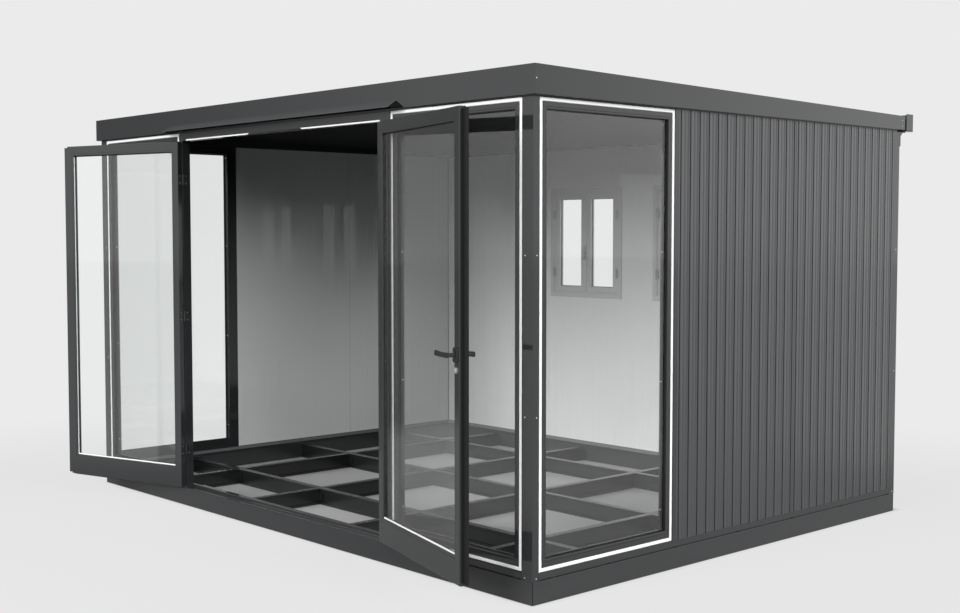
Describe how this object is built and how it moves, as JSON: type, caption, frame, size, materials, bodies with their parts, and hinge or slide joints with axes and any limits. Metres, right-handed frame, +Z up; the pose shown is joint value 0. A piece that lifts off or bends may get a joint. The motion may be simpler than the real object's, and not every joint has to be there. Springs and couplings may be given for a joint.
{
  "type": "garden office pod",
  "caption": "Flat-roofed metal garden office pod with glazed front corners, ribbed panel walls, an open joist base and a pair of outward-opening glazed doors.",
  "frame": {"origin": "on the ground under the middle of the base's middle crosswise joist, which is the centre of the joist grid", "axes": "+X along the front to the right, +Y from the front doorway into the room, +Z up"},
  "size_m": [3.98, 3.3908, 2.33],
  "materials": {
    "frame": "satin dark grey powder coat",
    "base_steel": "satin dark grey powder coat",
    "wall_panel": "satin dark grey outside, light grey inside",
    "roof_deck": "satin dark grey",
    "gutter": "satin dark grey powder coat",
    "hinge": "semi-gloss dark grey",
    "glass": "clear float glass",
    "light_strip": "translucent white diffuser",
    "handle": "satin black",
    "steel": "polished steel"
  },
  "bodies": {
    "pod": {"base_front_rail": "base_steel", "base_rear_rail": "base_steel", "base_left_rail": "base_steel", "base_right_rail": "base_steel", "crosswise_joists": "base_steel", "lengthwise_joists": "base_steel", "front_tracks": "frame", "side_tracks": "frame", "rear_track": "frame", "threshold": "frame", "front_right_post": "frame", "front_left_post": "frame", "rear_right_post": "frame", "rear_left_post": "frame", "side_mullions": "frame", "door_jambs": "frame", "door_header": "frame", "front_right_window_frame": "frame", "front_left_window_frame": "frame", "right_window_frame": "frame", "left_window_frame": "frame", "tall_window_glass": "glass", "light_strips": "light_strip", "right_panel_1": "wall_panel", "right_panel_2": "wall_panel", "left_panel_1": "wall_panel", "left_panel_2": "wall_panel", "rear_panel_1": "wall_panel", "rear_panel_2": "wall_panel", "rear_panel_3": "wall_panel", "rear_panel_4": "wall_panel", "rear_window_frames": "frame", "rear_window_sashes": "frame", "rear_window_glass": "glass", "front_top_rail": "frame", "rear_top_rail": "frame", "side_top_rails": "frame", "roof_deck": "roof_deck", "front_fascia": "frame", "right_fascia": "frame", "left_fascia": "frame", "gutter": "gutter", "gutter_brackets": "gutter", "drip_guard": "frame", "jamb_hinges": "hinge"},
    "left_door": {"left_door_frame": "frame", "left_door_glass": "glass", "left_door_hinges": "hinge"},
    "right_door": {"right_door_frame": "frame", "right_door_glass": "glass", "right_door_hinges": "hinge", "handle_plates": "handle", "lock_cylinder": "steel"},
    "right_door_lever": {"door_lever": "handle"}
  },
  "joints": [
    {"name": "left_door_swing", "type": "hinge", "parent": "pod", "child": "left_door", "pos_m": [-0.945, -1.5095, 1.13], "axis": [0, 0, 1], "range_deg": [-8.5, 163.5]},
    {"name": "right_door_swing", "type": "hinge", "parent": "pod", "child": "right_door", "pos_m": [0.945, -1.5095, 1.13], "axis": [0, 0, -1], "range_deg": [-8.5, 163.5]},
    {"name": "right_door_lever_turn", "type": "hinge", "parent": "right_door", "child": "right_door_lever", "pos_m": [1.8013, -1.78401, 1.1], "axis": [-0.284, -0.9588, 0], "range_deg": [0, 40], "stiffness_Nm_per_rad": 1.5, "springref_deg": -34.38}
  ]
}
